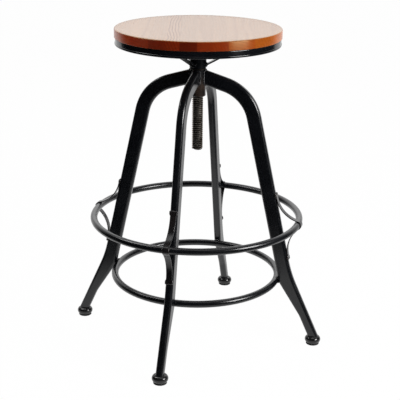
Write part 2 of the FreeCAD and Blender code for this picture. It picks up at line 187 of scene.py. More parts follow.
class MetalSettings(bpy.types.PropertyGroup):
    oiled: colour("Oiled steel", "Colour of the threaded post", (0.05, 0.043, 0.037))
    oil_stain: colour("Oil stain", "Colour of old oil in the thread", (0.02, 0.014, 0.009))
    oil_tint: colour("Oil tint", "Tint of the reflections in the oil", (0.35, 0.27, 0.2))
    rust: colour("Rust", "Colour of the rust specks", (0.16, 0.11, 0.075))
    crest: colour("Crest", "Colour of the thread's worn crests", (0.62, 0.57, 0.5))
    crest_depth: length("Crest depth", "How far in from the thread's outside it is worn bright", 0.0005)
    zinc: colour("Zinc", "Colour of the plated fasteners", (0.56, 0.56, 0.53))


class FootSettings(bpy.types.PropertyGroup):
    plastic: colour("Plastic", "Colour of the ball feet", (0.009, 0.009, 0.0095))
    plastic_dust: colour("Plastic dust", "Colour of the dust on the ball feet", (0.05, 0.05, 0.05))
    rubber: colour("Rubber", "Colour of the pads", (0.014, 0.014, 0.0145))
    rubber_dust: colour("Rubber dust", "Colour of the dust on the pads", (0.06, 0.058, 0.055))


class CarrierSettings(bpy.types.PropertyGroup):
    band_thickness: length("Band thickness", "Thickness of the ring under the board", 0.006)
    band_round: length("Band rounding", "Rounding of the ring's edges", 0.0016)
    band_smoothness: ratio("Band smoothness", "How much smoother the ring's enamel is than the frame's", 1.6)
    lip_height: length("Lip height", "Height of the lip along the ring's lower edge", 0.0046)
    lip_depth: length("Lip depth", "How far the ring stands back above its lip", 0.0009)
    arm_turn: angle("Arm turn", "Turn of the first arm and its strut from the right leg", 12.3)
    arm_width: length("Arm width", "Width of the arms", 0.03)
    strut_width: length("Strut width", "Width of the struts", 0.014)


class WeldSettings(bpy.types.PropertyGroup):
    bead_radius: length("Bead radius", "Half the width of a weld bead", 0.0024)
    ripple_pitch: length("Ripple pitch", "Distance between the ripples of a bead", 0.0014)
    ripple_depth: share("Ripple depth", "Depth of the ripples, of the bead's radius", 0.1)
    smoothness: ratio("Smoothness", "How much smoother a bead's enamel is than the frame's", 1.5)
    arm_drop: angle("Arm drop", "Slope of a leg's arm below the horizontal at the collar", 16.3)
    arm_width: length("Arm width", "Width of a leg's tube in its own plane", 0.029)
    arm_below_top: length("Arm below top", "Drop of the arm's centreline below the collar's top", 0.0115)
    leg_lean: angle("Leg lean", "Lean of the legs from the vertical", 12.6)
    bow_tab: length("Bow tab", "Welded length at each end of a bow strip", 0.008)


class ScrewSettings(bpy.types.PropertyGroup):
    head_diameter: length("Head diameter", "Diameter of a wood screw's head", 0.009)
    head_height: length("Head height", "Height of a wood screw's head", 0.0026)
    shaft_diameter: length("Shaft diameter", "Diameter of a wood screw's shaft", 0.0045)
    inner_place: length("Inner place", "Distance of the inner screws from the axis", 0.07)
    outer_place: length("Outer place", "Distance of the outer screws from the axis", 0.1432)
    recess_width: length("Recess width", "Span of the cross recess", 0.0046)
    recess_depth: length("Recess depth", "Depth of the cross recess", 0.0014)


class StageSettings(bpy.types.PropertyGroup):
    view_turn: angle("View turn", "Direction of the camera, turned from the front leg", 15.33)
    camera_distance: length("Camera distance", "Level distance of the camera from the post", 2.0302)
    camera_height: length("Camera height", "Height of the camera", 0.9728)
    camera_side: length("Camera side", "Sideways place of the camera", 0.0045)
    camera_turn: angle("Camera turn", "Turn of the camera to its right", 0.063)
    camera_pitch: angle("Camera pitch", "Downward tilt of the camera", 18.57)
    camera_roll: angle("Camera roll", "Roll of the camera", 0.58)
    field_of_view: angle("Field of view", "Width of the camera's view", 21.84)
    floor_colour: colour("Floor", "Colour of the floor", (0.9, 0.9, 0.9))
    floor_glow: share("Floor glow", "How far the floor is seen as plain white", 0.985)
    room_colour: colour("Room", "Colour of the room behind the camera", (0.02, 0.02, 0.02))
    sweep_end: length("Sweep end", "How far the white sweep reaches in front of the post", 0.35)
    sweep_fade: length("Sweep fade", "Distance over which the white sweep ends", 0.3)
    room_slope: ratio("Room slope", "How far the room reaches back at each side, of the distance out", 0.9)
    ambient: share("Ambient light", "Light of the surroundings", 0.2)


class StoolSettings(bpy.types.PropertyGroup):
    board: bpy.props.PointerProperty(type=BoardSettings)
    enamel: bpy.props.PointerProperty(type=EnamelSettings)
    metal: bpy.props.PointerProperty(type=MetalSettings)
    foot: bpy.props.PointerProperty(type=FootSettings)
    carrier: bpy.props.PointerProperty(type=CarrierSettings)
    weld: bpy.props.PointerProperty(type=WeldSettings)
    screw: bpy.props.PointerProperty(type=ScrewSettings)
    stage: bpy.props.PointerProperty(type=StageSettings)


# Node helpers
def fill(made, inputs):
    """Sets or links a node's inputs, given as a socket's name or number with a value or another socket."""
    for name, value in inputs.items():
        if isinstance(value, bpy.types.NodeSocket):
            made.id_data.links.new(value, made.inputs[name])
        else:
            made.inputs[name].default_value = value


def place(tree, kind, inputs=None, **settings):
    """Adds a node with its settings and inputs."""
    made = tree.nodes.new(kind)
    for name, value in settings.items():
        setattr(made, name, value)
    fill(made, inputs or {})
    return made


def node_group(name, kind, inputs, outputs):
    """A node group with sockets given as names and kinds, and the values that are handed to it."""
    group = bpy.data.node_groups.new(name, kind)
    for way, sockets in (("INPUT", inputs), ("OUTPUT", outputs)):
        for socket, socket_kind in sockets.items():
            group.interface.new_socket(socket, in_out=way, socket_type=f"NodeSocket{socket_kind}")
    return group, place(group, "NodeGroupInput").outputs


def tree_of(values):
    """The node tree that the sockets among these values belong to."""
    return next(value.id_data for value in values if isinstance(value, bpy.types.NodeSocket))


def calc(operation, *values):
    inputs = dict(enumerate(values))
    return place(tree_of(values), "ShaderNodeMath", inputs, operation=operation).outputs[0]


def product(value, *factors):
    for factor in factors:
        value = calc("MULTIPLY", value, factor)
    return value


def scaled(vector, factors):
    """A vector with each of its parts multiplied by a factor."""
    inputs = {0: vector, 1: factors}
    return place(vector.id_data, "ShaderNodeVectorMath", inputs, operation="MULTIPLY").outputs["Vector"]


def measure(operation, *vectors):
    """A number worked out from vectors, such as a length."""
    inputs = dict(enumerate(vectors))
    return place(tree_of(vectors), "ShaderNodeVectorMath", inputs, operation=operation).outputs["Value"]


def fade(value, low, high, low_result=0.0, high_result=1.0):
    """A smooth step of a value from one result to another."""
    inputs = {"Value": value, "From Min": low, "From Max": high, "To Min": low_result, "To Max": high_result}
    return place(value.id_data, "ShaderNodeMapRange", inputs, interpolation_type="SMOOTHSTEP").outputs[0]


def between(mask, low, high):
    """A value that goes from low to high with a mask."""
    return calc("MULTIPLY_ADD", mask, high - low, low)


def darker(colour_value, kept):
    return tuple(channel * kept for channel in colour_value)


def blend(factor, first, second, mode="MIX"):
    """Two colours mixed by a factor. Either may be a socket or a plain colour."""
    inputs = {"Factor": factor}
    for name, value in (("A", first), ("B", second)):
        inputs[name] = value if isinstance(value, bpy.types.NodeSocket) else (*value, 1.0)
    mix = place(tree_of(inputs.values()), "ShaderNodeMix", inputs, data_type="RGBA", blend_type=mode)
    return mix.outputs["Result"]


def noise(vector, size, detail=2.0, roughness=0.5):
    """Noise from 0 to 1 with features of about this size in metres."""
    inputs = {"Vector": vector, "Scale": 1.0 / size, "Detail": detail, "Roughness": roughness}
    return place(vector.id_data, "ShaderNodeTexNoise", inputs).outputs["Fac"]


def empty_tree(owner):
    """The cleared node tree of a material or world."""
    owner.use_nodes = True
    owner.node_tree.nodes.clear()
    return owner.node_tree


def new_material(name):
    """A material, its tree and its Principled shader."""
    material = bpy.data.materials.new(name)
    tree = empty_tree(material)
    shader = place(tree, "ShaderNodeBsdfPrincipled")
    place(tree, "ShaderNodeOutputMaterial", {"Surface": shader.outputs[0]})
    return material, tree, shader


def wire(shader, **sockets):
    """Links or sets the shader's inputs, with underscores for the spaces in their names."""
    fill(shader, {name.replace("_", " "): value for name, value in sockets.items()})


def bump(height, distance, strength=1.0):
    inputs = {"Height": height, "Distance": distance, "Strength": strength}
    return place(height.id_data, "ShaderNodeBump", inputs).outputs[0]


# Shared surface effects
def surface_group():
    """Broad patches, fine specks and a rippled height, for any coated or moulded surface."""
    group, given = node_group(
        "surface_variation",
        "ShaderNodeTree",
        {"Patch Size": "Float", "Speck Size": "Float", "Ripple Size": "Float"},
        {"Patches": "Float", "Specks": "Float", "Ripple": "Float"},
    )
    point = place(group, "ShaderNodeTexCoord").outputs["Object"]

    def sized_noise(name, detail):
        scale = calc("DIVIDE", 1.0, given[name])
        inputs = {"Vector": point, "Scale": scale, "Detail": detail}
        return place(group, "ShaderNodeTexNoise", inputs).outputs["Fac"]

    patches = fade(sized_noise("Patch Size", 3.0), 0.32, 0.68)
    specks = fade(sized_noise("Speck Size", 1.0), 0.68, 0.78)
    ripple = sized_noise("Ripple Size", 0.0)
    place(group, "NodeGroupOutput", {"Patches": patches, "Specks": specks, "Ripple": ripple})
    return group


def surface_variation(tree, patch_size, speck_size, ripple_size):
    """The shared effect placed in a material: its patches, specks and ripple."""
    group = bpy.data.node_groups.get("surface_variation") or surface_group()
    inputs = {"Patch Size": patch_size, "Speck Size": speck_size, "Ripple Size": ripple_size}
    effect = place(tree, "ShaderNodeGroup", inputs, node_tree=group).outputs
    return effect["Patches"], effect["Specks"], effect["Ripple"]


def warm_reflection_group():
    """A mask of brown patches of painted warm reflection, fading out towards the top of the collar."""
    inputs = {"Patches": "Float", "Share": "Float"}
    group, given = node_group("warm_reflection_mask", "ShaderNodeTree", inputs, {"Thin": "Float"})
    point = place(group, "ShaderNodeTexCoord").outputs["Object"]
    height = place(group, "ShaderNodeSeparateXYZ", {0: point}).outputs[2]
    low_down = fade(height, collar_high.z, collar_low.z, 0.0, given["Share"])
    place(group, "NodeGroupOutput", {"Thin": product(given["Patches"], low_down)})
    return group


def warm_reflection_mask(tree, patches, warm_reflection_share):
    """The shared effect placed in a material: its mask."""
    group = bpy.data.node_groups.get("warm_reflection_mask") or warm_reflection_group()
    inputs = {"Patches": patches, "Share": warm_reflection_share}
    return place(tree, "ShaderNodeGroup", inputs, node_tree=group).outputs["Thin"]


# Finishes
def enamel(settings, name, warm_reflection_share=0.0, smoothness=1.0):
    """Glossy black enamel. The warm reflection share says how strongly brown patches are painted in as a warm
    reflection, low down on the frame.
    """
    material, tree, shader = new_material(name)
    patches, specks, ripple = surface_variation(
        tree, patch_size=0.045, speck_size=0.0011, ripple_size=settings.peel_size
    )
    base = blend(patches, darker(settings.black, 0.7), settings.black)
    if warm_reflection_share > 0:
        # Brown patches painted in as a warm reflection, strongest below the collar
        base = blend(warm_reflection_mask(tree, patches, warm_reflection_share), base, settings.wear_and_warm_reflection)
    middle = settings.roughness / smoothness
    roughness = between(patches, middle - settings.unevenness, middle + settings.unevenness)
    roughness = calc("MULTIPLY_ADD", specks, settings.unevenness, roughness)
    wire(
        shader,
        Base_Color=base,
        Roughness=roughness,
        Normal=bump(ripple, distance=0.00005, strength=0.05 / smoothness),
    )
    return material


def oiled_steel(settings):
    """Dark turned steel with old oil in the hollows of its thread."""
    material, tree, shader = new_material("oiled_steel")
    patches, specks, ripple = surface_variation(tree, patch_size=0.012, speck_size=0.0008, ripple_size=0.0007)
    base = blend(patches, settings.oil_stain, settings.oiled)
    base = blend(between(specks, low=0.0, high=0.4), base, settings.rust)
    point = place(tree, "ShaderNodeTexCoord").outputs["Object"]
    from_axis = measure("LENGTH", scaled(point, (1.0, 1.0, 0.0)))

    # Only the post's crests are worn, and the wider washer isn't
    depth = settings.crest_depth
    wear_and_warm_reflection = fade(from_axis, post_radius - depth, post_radius - depth * 0.4)
    on_post = calc("LESS_THAN", from_axis, post_radius + depth)
    wear_and_warm_reflection = product(wear_and_warm_reflection, on_post, between(patches, low=0.3, high=1.0))
    wire(
        shader,
        Base_Color=blend(wear_and_warm_reflection, base, settings.crest),
        Metallic=between(wear_and_warm_reflection, low=0.7, high=1.0),
        Roughness=between(patches, low=0.2, high=0.36),
        Specular_Tint=(*settings.oil_tint, 1.0),
        Normal=bump(ripple, distance=0.00005, strength=0.6),
    )
    return material


def zinc_plate(settings, name):
    material, tree, shader = new_material(name)
    patches, specks, ripple = surface_variation(tree, patch_size=0.004, speck_size=0.0006, ripple_size=0.0005)
    wire(
        shader,
        Base_Color=blend(patches, darker(settings.zinc, 0.7), settings.zinc),
        Metallic=1.0,
        Roughness=between(specks, low=0.3, high=0.5),
        Normal=bump(ripple, distance=0.00003, strength=0.5),
    )
    return material


def ball_plastic(settings):
    material, tree, shader = new_material("ball_plastic")
    patches, specks, ripple = surface_variation(tree, patch_size=0.014, speck_size=0.0007, ripple_size=0.0022)
    base = blend(patches, darker(settings.plastic, 0.6), settings.plastic)
    dusted = between(specks, low=0.0, high=0.25)
    wire(
        shader,
        Base_Color=blend(dusted, base, settings.plastic_dust),
        Roughness=between(patches, low=0.13, high=0.21),
        Specular_IOR_Level=0.45,
        Normal=bump(ripple, distance=0.00008, strength=0.4),
    )
    return material


def pad_rubber(settings):
    material, tree, shader = new_material("pad_rubber")
    patches, specks, ripple = surface_variation(tree, patch_size=0.01, speck_size=0.0009, ripple_size=0.0006)
    base = blend(patches, darker(settings.rubber, 0.6), settings.rubber)
    dusted = between(specks, low=0.0, high=0.3)
    wire(
        shader,
        Base_Color=blend(dusted, base, settings.rubber_dust),
        Roughness=between(patches, low=0.55, high=0.7),
        Specular_IOR_Level=0.3,
        Normal=bump(ripple, distance=0.0001, strength=0.6),
    )
    return material


def stave_values(tree, across):
    """Tone, warmth, strength of the lines and side of the tree's axis for the stave at a place across."""
    position = calc("MULTIPLY_ADD", across, 0.5 / seat_radius, 0.5)
    ramp = place(tree, "ShaderNodeValToRGB", {"Fac": position})
    stops = ramp.color_ramp
    stops.interpolation = "CONSTANT"
    stops.elements.remove(stops.elements[1])
    for number, (start, *values) in enumerate(STAVES):
        stop_place = start / seat_radius / 2 + 0.5
        stop = stops.elements.new(stop_place) if number else stops.elements[0]
        stop.color = values
    tone, warmth, lines = place(tree, "ShaderNodeSeparateColor", {0: ramp.outputs["Color"]}).outputs
    return tone, warmth, lines, between(ramp.outputs["Alpha"], -TREE_REACH / 2, TREE_REACH / 2)


def stained_wood(settings):
    """Edge-glued staves cut from different trees, stained red-brown and lacquered."""
    material, tree, shader = new_material("stained_wood")
    coordinates = place(tree, "ShaderNodeTexCoord").outputs
    turn = (0.0, 0.0, -settings.grain_turn)
    point, facing = [
        place(tree, "ShaderNodeMapping", {"Vector": coordinates[name], "Rotation": turn}).outputs[0]
        for name in ("Object", "Normal")
    ]
    across, along, height = place(tree, "ShaderNodeSeparateXYZ", {0: point}).outputs
    _, end_facing, upright = place(tree, "ShaderNodeSeparateXYZ", {0: facing}).outputs
    edge = fade(calc("ABSOLUTE", upright), 0.85, 0.35)

    # Each stave has its own tone, its own tree axis somewhere below the board, and a cut that no other has
    tone, warmth, lines, tree_side = stave_values(tree, across)
    tone_steps, warmth_steps, seed_steps = 17.3, 5.1, 3.7
    mixed = calc("MULTIPLY_ADD", tone, tone_steps, product(warmth, warmth_steps))
    cut = calc("FRACT", mixed)
    tree_depth = between(warmth, low=0.03, high=0.12)

    # Growth rings around the tree's axis, wandering slowly along the grain
    stave_point = {0: across, 1: along, 2: cut}
    slow = place(tree, "ShaderNodeCombineXYZ", stave_point).outputs[0]
    strayed = noise(scaled(slow, (5.0, 2.2, seed_steps)), size=0.35)
    wander = between(strayed, -settings.ring_wander, settings.ring_wander)
    from_axis = calc("ADD", calc("SUBTRACT", across, tree_side), wander)
    above_axis = calc("ADD", calc("SUBTRACT", height, seat_low.z), tree_depth)
    taper = product(along, between(cut, low=-0.03, high=0.03))
    squares = calc("ADD", calc("POWER", from_axis, 2.0), calc("POWER", above_axis, 2.0))
    radius = calc("ADD", calc("SQRT", squares), taper)
    ring = calc("FRACT", calc("DIVIDE", radius, settings.ring_spacing))
    late = product(fade(ring, 0.5, 0.9), fade(ring, 1.0, 0.94), lines)
    late = product(late, fade(edge, 0.0, 1.0, low_result=1.0, high_result=settings.edge_lines))

    # Open pores, as short dark dashes along the grain, and streaks in the stain
    dashes = noise(scaled(point, (1.0, 0.035, 1.0)), settings.pore_width, detail=1.0)
    pores = fade(dashes, 0.62, 0.75)
    stretched = scaled(point, (1.0, 0.02, 1.0))
    streaks = noise(stretched, settings.streak_width, detail=3.0, roughness=0.6)

    # The edge takes up more stain than the face, and its sanding marks run around the board
    end_grain = product(edge, fade(calc("ABSOLUTE", end_facing), 0.25, 0.95))
    edge_wood = blend(warmth, settings.red_wood, settings.orange_wood)
    wood = blend(edge, settings.face_wood, edge_wood)
    # The underside is painted darker, as painted shade
    wood = blend(fade(upright, -0.3, -0.9), wood, settings.shaded_underside)
    wood = blend(late, wood, settings.late_wood)
    wood = blend(between(pores, low=0.0, high=0.45), wood, settings.late_wood)
    even_tone = between(tone, low=0.82, high=1.02)
    shade = place(tree, "ShaderNodeMix", {"Factor": edge, "A": even_tone, "B": tone}).outputs["Result"]
    shade = product(shade, between(streaks, low=0.75, high=1.25))
    shade = product(shade, between(end_grain, low=1.0, high=0.8))
    grey = place(tree, "ShaderNodeCombineColor", {0: shade, 1: shade, 2: shade}).outputs[0]
    wood = blend(1.0, wood, grey, "MULTIPLY")
    roughness = fade(edge, 0.0, 1.0, settings.lacquer_roughness, settings.edge_roughness)
    roughness = calc("MULTIPLY_ADD", pores, 0.15, roughness)
    wire(
        shader,
        Base_Color=wood,
        Roughness=roughness,
        Specular_IOR_Level=calc("MULTIPLY_ADD", late, -settings.sunk_lines, settings.lacquer_gloss),
        Specular_Tint=(*settings.gloss_tint, 1.0),
        Anisotropic=product(edge, settings.edge_brushing),
        Anisotropic_Rotation=0.25,
        Tangent=place(tree, "ShaderNodeTangent", direction_type="RADIAL", axis="Z").outputs[0],
        Normal=bump(calc("SUBTRACT", 1.0, pores), distance=0.00002, strength=0.4),
    )
    return material


# Mesh helpers
def plain_mesh(name, shape):
    mesh = bpy.data.meshes.new(name)
    shape.to_mesh(mesh)
    shape.free()
    return mesh


def new_mesh(name, shape):
    """A mesh from a bmesh, smooth except at sharp edges."""
    bmesh.ops.recalc_face_normals(shape, faces=shape.faces)
    mesh = plain_mesh(name, shape)
    mesh.shade_smooth()
    mesh.set_sharp_from_angle(angle=SHARP_ANGLE)
    return mesh


def spaced(start, end, steps):
    return [start + (end - start) * i / steps for i in range(steps + 1)]


def around(radius, turn, height):
    """The point at a turn around the axis."""
    return Vector((radius * math.cos(turn), radius * math.sin(turn), height))


def lathe(profile, segments):
    """A solid of revolution. Its (radius, height) points go from axis to axis or round a ring's section."""
    shape = bmesh.new()
    rings = []
    turns = spaced(0, 2 * math.pi, segments)[:-1]
    for radius, height in profile:
        if radius == 0:
            rings.append([shape.verts.new((0, 0, height))])
            continue
        rings.append([shape.verts.new(around(radius, turn, height)) for turn in turns])
    if profile[0][0] > 0:
        rings.append(rings[0])
    for lower, upper in zip(rings, rings[1:]):
        for i in range(segments):
            j = (i + 1) % segments
            places = ((lower, i), (lower, j), (upper, j), (upper, i))
            corners = [ring[number % len(ring)] for ring, number in places]
            shape.faces.new(list(dict.fromkeys(corners)))
    return shape


def quarter_round(centre, radius, start, end, steps):
    """Points of a rounded corner in a lathe profile, between two angles in degrees."""
    turns = [math.radians(turn) for turn in spaced(start, end, steps)]
    return [(centre[0] + radius * math.cos(turn), centre[1] + radius * math.sin(turn)) for turn in turns]


def linked_object(name, data):
    made = bpy.data.objects.new(name, data)
    bpy.context.scene.collection.objects.link(made)
    return made


def add_piece(name, mesh, material, body, replaced=()):
    """A finished piece at the origin that rides on a body."""
    piece = linked_object(name, mesh)
    if material is not None:
        mesh.materials.append(material)
    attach(piece, body)
    if replaced:
        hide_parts(*replaced)


def dress(names, material):
    """Gives CAD nodes a finish."""
    for name in names:
        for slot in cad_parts[name].material_slots:
            slot.material = material


def plain_copy(name, source):
    """The evaluated result of an object as a plain mesh. The source object is removed."""
    graph = bpy.context.evaluated_depsgraph_get()
    mesh = bpy.data.meshes.new_from_object(source.evaluated_get(graph))
    mesh.name = name
    source.modifiers.clear()
    bpy.data.objects.remove(source)
    return mesh


def run_nodes(name, mesh, tree, inputs):
    """The plain mesh that a node tree makes from a mesh, with inputs set by their sockets' identifiers."""
    source = linked_object(name, mesh)
    modifier = source.modifiers.new(tree.name, "NODES")
    modifier.node_group = tree
    sockets = {socket.name: socket.identifier for socket in tree.interface.items_tree}
    for socket_name, value in inputs.items():
        modifier[sockets[socket_name]] = value
    return plain_copy(name, source)


# Weld beads
def bead_tree():
    """Sweeps a rippled bead along each path of a wire mesh."""
    inputs = {"Paths": "Geometry", "Bead Radius": "Float", "Ripple Pitch": "Float", "Ripple Depth": "Float"}
    inputs["Material"] = "Material"
    tree, given = node_group("weld_bead", "GeometryNodeTree", inputs, {"Beads": "Geometry"})
    steps_per_ripple, sides = 6.0, 12

    # An open end rounds off over this many bead radii, down to the root of this share
    end_length, end_size = 1.6, 0.04
    step = calc("DIVIDE", given["Ripple Pitch"], steps_per_ripple)
    curve = place(tree, "GeometryNodeMeshToCurve", {"Mesh": given["Paths"]}).outputs[0]
    inputs = {"Curve": curve, "Length": step}
    curve = place(tree, "GeometryNodeResampleCurve", inputs, mode="LENGTH").outputs[0]

    # The bead is rippled and a little uneven, and rounded at open ends
    along = place(tree, "GeometryNodeSplineParameter").outputs["Length"]
    whole = place(tree, "GeometryNodeSplineLength").outputs["Length"]
    wave = calc("SINE", calc("DIVIDE", product(along, math.pi), given["Ripple Pitch"]))
    hollow = calc("SUBTRACT", 1.0, calc("ABSOLUTE", wave))
    rippled = calc("SUBTRACT", 1.0, product(hollow, given["Ripple Depth"]))
    uneven = place(tree, "ShaderNodeTexNoise", {"Scale": 120.0, "Detail": 1.0}).outputs["Fac"]
    rippled = product(rippled, between(uneven, low=0.8, high=1.2))
    to_end = calc("MINIMUM", along, calc("SUBTRACT", whole, along))
    end_share = calc("DIVIDE", to_end, product(given["Bead Radius"], end_length))
    rounded = calc("SQRT", calc("MAXIMUM", calc("MINIMUM", end_share, 1.0), end_size))
    closed = place(tree, "GeometryNodeInputSplineCyclic").outputs[0]
    rounded = calc("MAXIMUM", rounded, closed)
    radius = product(rippled, rounded, given["Bead Radius"])
    curve = place(tree, "GeometryNodeSetCurveRadius", {"Curve": curve, "Radius": radius}).outputs[0]

    outline = place(tree, "GeometryNodeCurvePrimitiveCircle", {"Resolution": sides, "Radius": 1.0}).outputs[0]
    inputs = {"Curve": curve, "Profile Curve": outline, "Fill Caps": True}
    sweep = place(tree, "GeometryNodeCurveToMesh", inputs)

    # Some releases take the bead's size here, and others from the curve's radius
    if "Scale" in sweep.inputs:
        tree.links.new(radius, sweep.inputs["Scale"])
    solid = place(tree, "GeometryNodeRealizeInstances", {0: sweep.outputs[0]}).outputs[0]
    solid = place(tree, "GeometryNodeSetShadeSmooth", {0: solid}).outputs[0]
    solid = place(tree, "GeometryNodeSetMaterial", {0: solid, "Material": given["Material"]}).outputs[0]
    place(tree, "NodeGroupOutput", {"Beads": solid})
    return tree


def rounded_section(width, thickness, corner, steps):
    """Points around a flat-oval tube's section as (across the width, across the thickness)."""
    points = []
    half_w = width / 2 - corner
    half_t = thickness / 2 - corner
    for quarter, (side_w, side_t) in enumerate(((1, 1), (-1, 1), (-1, -1), (1, -1))):
        for i in range(steps + 1):
            turn = QUARTER * (quarter + i / steps)
            across = side_w * half_w + corner * math.cos(turn)
            points.append((across, side_t * half_t + corner * math.sin(turn)))
    return points


def on_cylinder(radius, sideways, height):
    return Vector((math.sqrt(radius**2 - sideways**2), sideways, height))


def arm_weld(settings):
    """The closed path around a leg's arm where it meets the collar."""
    slope = math.tan(settings.arm_drop)
    path = []
    corner = leg_thickness * LEG_CORNER
    for across, sideways in rounded_section(settings.arm_width, leg_thickness, corner, steps=6):
        point = on_cylinder(collar_radius, sideways, 0.0)
        middle = collar_high.z - settings.arm_below_top - point.x * slope
        path.append(Vector((point.x, point.y, middle + across / math.cos(settings.arm_drop))))
    return path


def bow_end_weld(settings, upper):
    """A path around the end of a bow strip's tab, on the leg's outer face."""
    half = (bow_high.y - bow_low.y) / 2
    up = Vector((-math.sin(settings.leg_lean), 0, math.cos(settings.leg_lean)))
    if upper:
        end = Vector((bow_low.x, 0, bow_high.z))
    else:
        drop = bow_high.z - bow_low.z
        end = Vector((bow_low.x + drop * math.tan(settings.leg_lean), 0, bow_low.z))
        up = -up
    inner = end - up * settings.bow_tab
    side = Vector((0, half, 0))
    return [inner - side, end - side, end + side, inner + side]


def bow_wrap_weld(sideways):
    """A path along one edge of a bow strip where it lies on the foot ring."""
    path = []
    for turn in spaced(WRAP_LOW, WRAP_HIGH, steps=10):
        reach = foot_ring_radius + ring_bar_radius * math.cos(turn)
        path.append(Vector((reach, sideways, foot_ring_height + ring_bar_radius * math.sin(turn))))
    return path


def brace_weld(settings, turn_from_contact):
    """A short path across a leg, in the crevice beside its contact with the brace ring."""
    turn = settings.leg_lean + turn_from_contact
    half = leg_thickness * BRACE_REACH
    reach = brace_ring_radius + ring_bar_radius * math.cos(turn)
    height = brace_ring_height + ring_bar_radius * math.sin(turn)
    return [on_cylinder(reach, s, height) for s in spaced(-half, half, steps=6)]


def strut_welds(carrier):
    """Paths across a strut's root, above and below it, on the hub's wall."""
    half = carrier.strut_width / 2
    across = spaced(-half, half, steps=6)
    return [[on_cylinder(hub_radius, s, strut_low.z + rise) for s in across] for rise in STRUT_BEADS]


def arm_end_weld(carrier):
    """A path along an arm's end, under the seat ring's inner face."""
    half = carrier.arm_width / 2
    reach = band_radius - carrier.band_thickness
    return [on_cylinder(reach, s, arm_low.z) for s in spaced(-half, half, steps=8)]


def hub_top_weld():
    """The closed path around the hub's top."""
    turns = spaced(0, 2 * math.pi, steps=48)[:-1]
    return [around(hub_radius, turn, hub_high.z) for turn in turns]


def path_mesh(name, paths, first_turn):
    """A wire mesh of open or closed paths, each repeated evenly around the axis."""
    shape = bmesh.new()
    for points, closed, repeats in paths:
        for number in range(repeats):
            turn = Matrix.Rotation(first_turn + 2 * math.pi * number / repeats, 3, "Z")
            verts = [shape.verts.new(turn @ p) for p in points]
            for first, second in zip(verts, verts[1:]):
                shape.edges.new((first, second))
            if closed:
                shape.edges.new((verts[-1], verts[0]))
    return plain_mesh(name, shape)


def sweep_beads(name, paths, first_turn, settings, material, body):
    """One piece with a bead along every path."""
    tree = bpy.data.node_groups.get("weld_bead") or bead_tree()
    inputs = {
        "Bead Radius": settings.bead_radius,
        "Ripple Pitch": settings.ripple_pitch,
        "Ripple Depth": settings.ripple_depth,
        "Material": material,
    }
    mesh = run_nodes(name, path_mesh(name, paths, first_turn), tree, inputs)
    add_piece(name, mesh, None, body)


# Wood screws
def screw_tree():
    """Sets a screw at each point, turned as a hand would leave it."""
    inputs = {"Places": "Geometry", "Screw": "Object", "Material": "Material"}
    tree, given = node_group("wood_screws", "GeometryNodeTree", inputs, {"Screws": "Geometry"})
    screw = place(tree, "GeometryNodeObjectInfo", {"Object": given["Screw"]}).outputs["Geometry"]
    inputs = {"Min": (0.0, 0.0, 0.0), "Max": (0.0, 0.0, QUARTER), "Seed": 4}
    turn = place(tree, "FunctionNodeRandomValue", inputs, data_type="FLOAT_VECTOR").outputs["Value"]
    inputs = {"Points": given["Places"], "Instance": screw, "Rotation": turn}
    screws = place(tree, "GeometryNodeInstanceOnPoints", inputs).outputs[0]
    screws = place(tree, "GeometryNodeRealizeInstances", {0: screws}).outputs[0]
    screws = place(tree, "GeometryNodeSetMaterial", {0: screws, "Material": given["Material"]}).outputs[0]
    place(tree, "NodeGroupOutput", {"Screws": screws})
    return tree


def screw_mesh(settings):
    """A round-headed wood screw that points up, with a cross recess in its head."""
    head = settings.head_diameter / 2
    shaft = settings.shaft_diameter / 2
    rise = settings.head_height
    tip = screws_high.z - screws_low.z
    profile = [(0, 0), (head * 0.35, rise * 0.03), (head * 0.65, rise * 0.18), (head * 0.9, rise * 0.55)]
    profile += [(head, rise * 0.9), (head, rise), (shaft, rise), (shaft, tip - shaft * 2), (0, tip)]
    screw = linked_object("screw", new_mesh("screw", lathe(profile, segments=24)))
    cutter_shape = bmesh.new()
    span = settings.recess_width
    size = Matrix.Diagonal((span, span / 4, settings.recess_depth * 2, 1.0))
    for turn in (0.0, QUARTER):
        bmesh.ops.create_cube(cutter_shape, size=1.0, matrix=Matrix.Rotation(turn, 4, "Z") @ size)
    cutter = linked_object("recess", new_mesh("recess", cutter_shape))
    recess = screw.modifiers.new("recess", "BOOLEAN")
    recess.operation = "DIFFERENCE"
    recess.object = cutter
    recess.use_self = True
    mesh = plain_copy("screw", screw)
    bpy.data.objects.remove(cutter)
    return mesh


# Operators, one for each piece or group of like pieces
class STOOL_OT_seat_board(bpy.types.Operator):
    """Turns the round board and stains its staves"""

    bl_idname = "stool.seat_board"
    bl_label = "Seat board"

    def execute(self, context):
        settings = context.scene.counter_stool.board
        low, high = seat_low.z, seat_high.z
        upper = (seat_radius - settings.top_round, high - settings.top_round)
        lower = (seat_radius - settings.bottom_round, low + settings.bottom_round)
        profile = [(0, low)]
        profile += [(seat_radius * step / 4, low) for step in (1, 2, 3)]
        profile += quarter_round(lower, settings.bottom_round, -90, 0, steps=4)
        profile += quarter_round(upper, settings.top_round, 0, 90, steps=6)
        profile += [(seat_radius * step / 8, high) for step in (7, 6, 5, 4, 3, 2, 1)]
        profile += [(0, high)]
        mesh = new_mesh("seat_board", lathe(profile, ROUND_SEGMENTS))
        add_piece("seat_board", mesh, stained_wood(settings), SEAT, ["wood_seat"])
        return {"FINISHED"}


